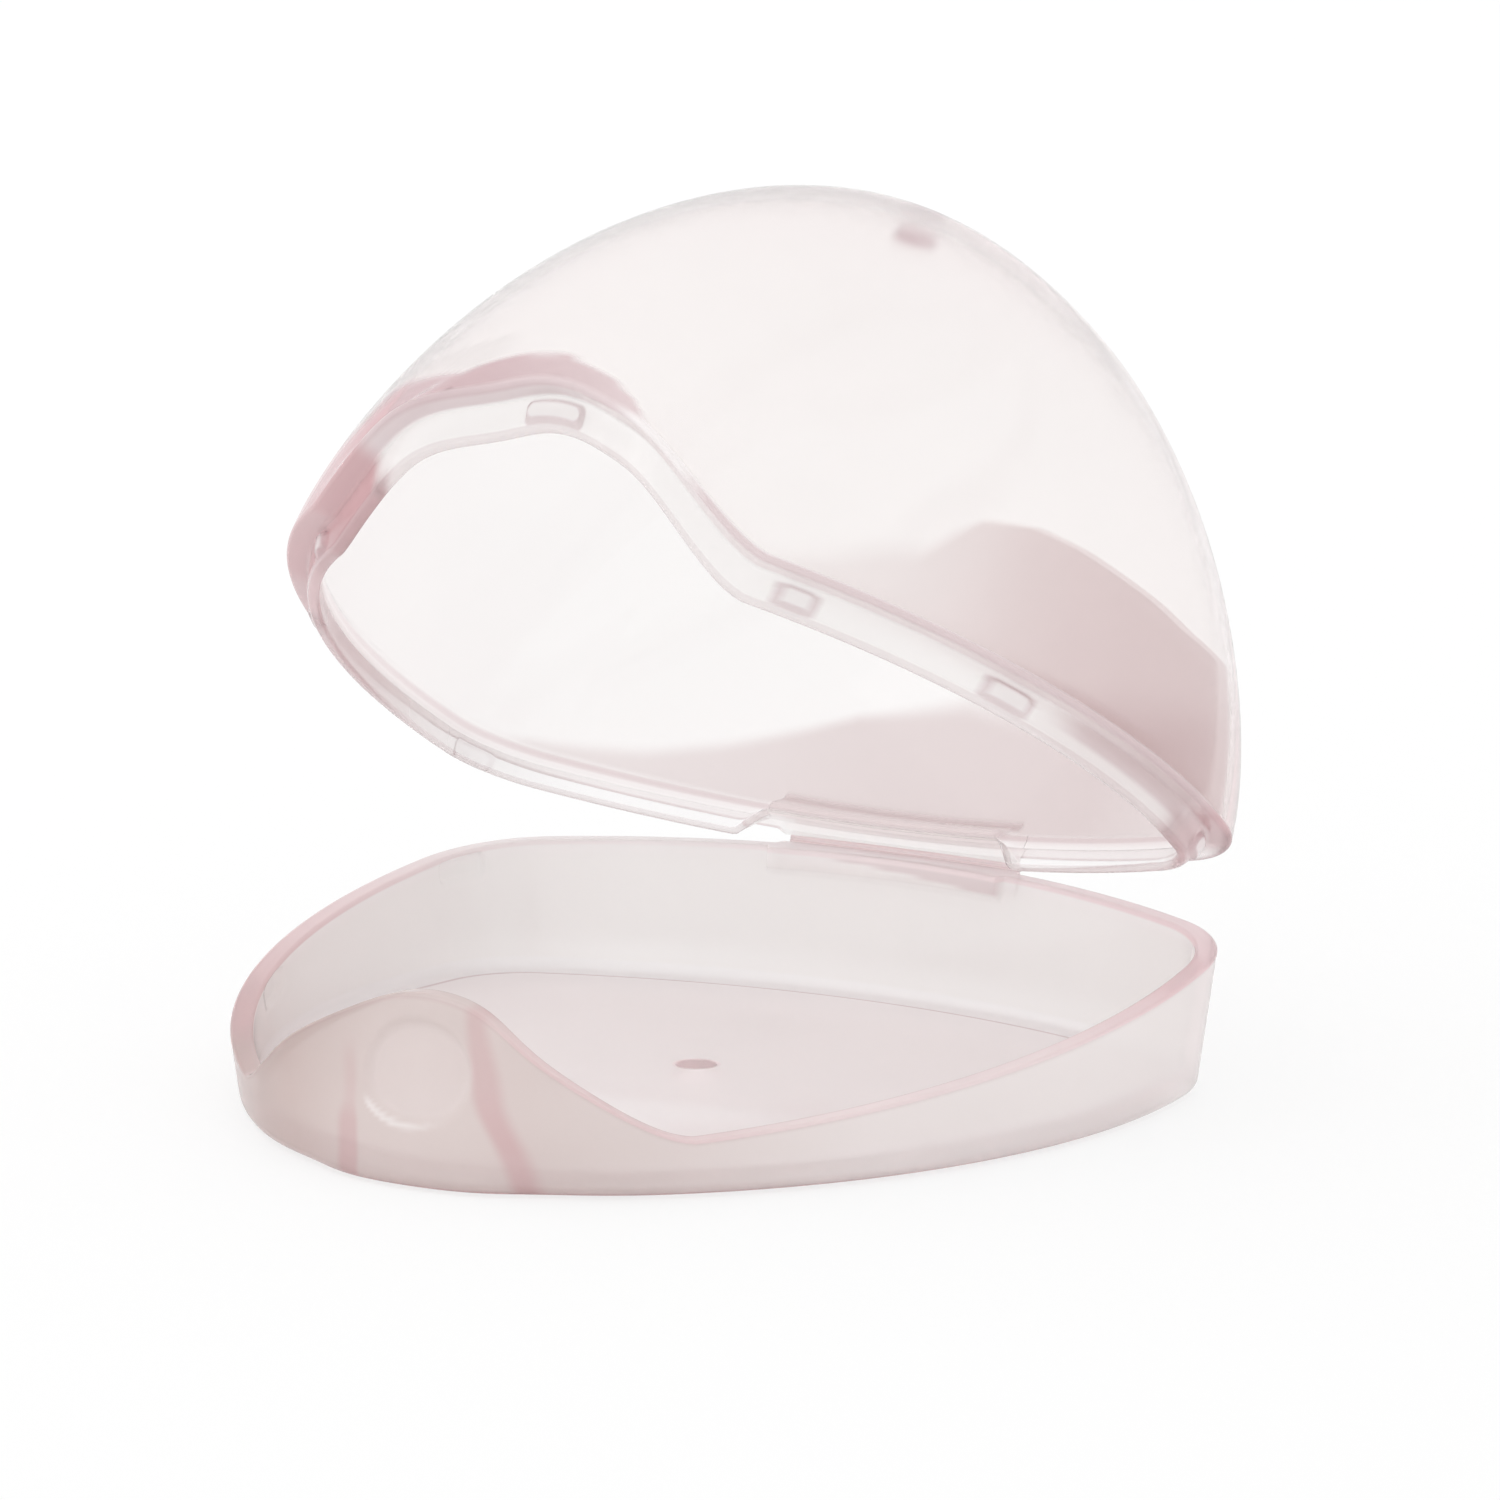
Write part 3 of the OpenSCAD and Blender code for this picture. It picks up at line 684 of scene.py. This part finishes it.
def plastic(name, haze, density):
    """Milky pink polypropylene: hazy inside, glossy outside, with faint flow marks, and the skin's zone of painted
    shade.
    """
    mat = bpy.data.materials.new(name)
    mat.use_nodes = True
    tree = mat.node_tree
    tree.nodes.clear()
    link = tree.links.new
    out = node(tree, "ShaderNodeOutputMaterial")
    body = node(tree, "ShaderNodeBsdfPrincipled", IOR=1.05, Coat_Weight=0.6, Coat_Roughness=0.06, Coat_IOR=1.49)
    coord = node(tree, "ShaderNodeTexCoord")
    tint = node(tree, "ShaderNodeAttribute", attribute_name="tint")
    zone = node(tree, "ShaderNodeAttribute", attribute_name="zone")
    clear = node(tree, "ShaderNodeAttribute", attribute_name="clear")
    link(clear.outputs["Fac"], body.inputs["Transmission Weight"])
    # Painted shade zone, darker and rosier, with a crisp upper edge
    step = node(tree, "ShaderNodeMapRange", interpolation_type="SMOOTHSTEP", From_Min=1.0, From_Max=-1.0)
    link(zone.outputs["Fac"], step.inputs["Value"])
    deep = node(tree, "ShaderNodeAttribute", attribute_name="deep")
    share = node(tree, "ShaderNodeMath", operation="MULTIPLY")
    link(step.outputs["Result"], share.inputs[0])
    link(deep.outputs["Fac"], share.inputs[1])
    shaded = node(tree, "ShaderNodeMix", data_type="RGBA", blend_type="MULTIPLY")
    shaded.inputs[7].default_value = (*SHADE_TINT, 1)
    link(share.outputs[0], shaded.inputs[0])
    link(tint.outputs["Color"], shaded.inputs[6])
    # Faint cloudy flow marks
    cloud = node(tree, "ShaderNodeTexNoise", Scale=55.0, Detail=3.0, Roughness=0.55)
    link(coord.outputs["Object"], cloud.inputs["Vector"])
    flow = node(tree, "ShaderNodeMapRange", From_Min=0.3, From_Max=0.7, To_Min=0.985, To_Max=1.0)
    link(cloud.outputs["Fac"], flow.inputs["Value"])
    mottled = node(tree, "ShaderNodeMix", data_type="RGBA", blend_type="MULTIPLY")
    mottled.inputs[0].default_value = 1.0
    link(shaded.outputs[2], mottled.inputs[6])
    link(flow.outputs["Result"], mottled.inputs[7])
    link(mottled.outputs[2], body.inputs["Base Color"])
    # Haze that varies finely
    fine = node(tree, "ShaderNodeTexNoise", Scale=420.0, Detail=4.0)
    link(coord.outputs["Object"], fine.inputs["Vector"])
    rough = node(tree, "ShaderNodeMapRange", To_Min=haze - 0.05, To_Max=haze + 0.05)
    link(fine.outputs["Fac"], rough.inputs["Value"])
    link(rough.outputs["Result"], body.inputs["Roughness"])
    vol = node(tree, "ShaderNodeVolumeAbsorption", Density=density, Color=(*VOLUME_TINT, 1))
    link(body.outputs["BSDF"], out.inputs["Surface"])
    link(vol.outputs["Volume"], out.inputs["Volume"])
    return mat


shape = Shape(STEPS)
rings = base_rings(shape)
tints = np.vstack([base_tint(shape, q, z) for q, z in zip(rings, rings.zones)])
tray = skin("tray_skin", rings, closed=True, fields=looks(tints[:, :3], tints[:, 3]))
rings = lid_rings(shape)
tints = np.vstack([lid_tint(shape, q, z) for q, z in zip(rings, rings.zones)])
# Place and depth of the painted shade zone on the lid
over = np.hstack([lid_shade_zone(shape, q, z in ("shell", "inside", "crown")) for q, z in zip(rings, rings.zones)])
lid = skin("dome_skin", rings, closed=True, fields=looks(tints[:, :3], tints[:, 3], *over))
open_lid(lid)
film = web()

for piece, body, replaced, slot, haze, density in ((tray, "base", "base_tray", "tray", 0.34, 30),
                                                   (lid, "lid", "lid_dome", "dome", 0.17, 25)):
    piece.data.materials.append(plastic("pink_plastic_" + slot, haze, density))
    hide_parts(replaced)
    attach(piece, body)
film.data.materials.append(plastic("pink_plastic_hinge", 0.3, 5.0))
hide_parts("film_hinge")
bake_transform(film)

scene = bpy.context.scene

# Floor, white to the camera and in what shows through the plastic, with the shadow kept
FLOOR_HALF, FLOOR_Z, GLOW_SHARE = 3.0, -0.0002, 0.76
floor_mesh = bpy.data.meshes.new("floor")
floor_mesh.from_pydata([(-FLOOR_HALF, -FLOOR_HALF, 0), (FLOOR_HALF, -FLOOR_HALF, 0), (FLOOR_HALF, FLOOR_HALF, 0),
                        (-FLOOR_HALF, FLOOR_HALF, 0)], [], [(0, 1, 2, 3)])
floor = bpy.data.objects.new("floor", floor_mesh)
floor.location = (0, 0, FLOOR_Z)
scene.collection.objects.link(floor)
mat = bpy.data.materials.new("white_floor")
mat.use_nodes = True
tree = mat.node_tree
tree.nodes.clear()
link = tree.links.new
path = node(tree, "ShaderNodeLightPath")
camera_or_glossy = node(tree, "ShaderNodeMath", operation="MAXIMUM")
seen = node(tree, "ShaderNodeMath", operation="MAXIMUM")
share = node(tree, "ShaderNodeMath", operation="MULTIPLY")
share.inputs[1].default_value = GLOW_SHARE
diffuse = node(tree, "ShaderNodeBsdfDiffuse", Color=(0.9, 0.9, 0.9, 1))
glow = node(tree, "ShaderNodeEmission", Color=(1, 1, 1, 1), Strength=1.0)
mix = node(tree, "ShaderNodeMixShader")
out = node(tree, "ShaderNodeOutputMaterial")
link(path.outputs["Is Camera Ray"], camera_or_glossy.inputs[0])
link(path.outputs["Is Glossy Ray"], camera_or_glossy.inputs[1])
link(camera_or_glossy.outputs[0], seen.inputs[0])
link(path.outputs["Is Transmission Ray"], seen.inputs[1])
link(seen.outputs[0], share.inputs[0])
link(share.outputs[0], mix.inputs["Fac"])
link(diffuse.outputs[0], mix.inputs[1])
link(glow.outputs[0], mix.inputs[2])
link(mix.outputs[0], out.inputs["Surface"])
floor.data.materials.append(mat)

# White world
world = bpy.data.worlds.new("studio")
scene.world = world
world.use_nodes = True
tree = world.node_tree
tree.nodes.clear()
back = node(tree, "ShaderNodeBackground", Color=(1, 1, 1, 1), Strength=1.0)
out = node(tree, "ShaderNodeOutputWorld")
tree.links.new(back.outputs[0], out.inputs["Surface"])


def lamp(name, where, size, power):
    """Square area lamp aimed at the middle of the case."""
    data = bpy.data.lights.new(name, "AREA")
    data.size = size
    data.energy = power
    obj = bpy.data.objects.new(name, data)
    obj.location = where
    aim = Vector((0, 0, 0.025)) - Vector(where)
    obj.rotation_euler = aim.to_track_quat("-Z", "Y").to_euler()
    scene.collection.objects.link(obj)
    return obj


key = lamp("key", (-0.55, 0.35, 0.75), 0.9, 1.3)
# Its reflection would be a bright square on the dome
key.visible_glossy = False
key.visible_transmission = False
lamp("fill", (-0.6, -0.5, 0.5), 0.8, 0.7)

# Camera, as solved from the photograph
cam_data = bpy.data.cameras.new("camera")
cam_data.sensor_width = 36
cam_data.sensor_fit = "HORIZONTAL"
cam_data.lens = 246.96
cam_data.clip_start = 0.05
cam_data.clip_end = 20
camera = bpy.data.objects.new("camera", cam_data)
eye, aim = Vector((0.42875, -0.66619, 0.18746)), Vector((0.004770, 0.003022, 0.027224))
camera.location = eye
camera.rotation_euler = (aim - eye).to_track_quat("-Z", "Y").to_euler()
scene.collection.objects.link(camera)
scene.camera = camera
scene.view_settings.view_transform = "Standard"
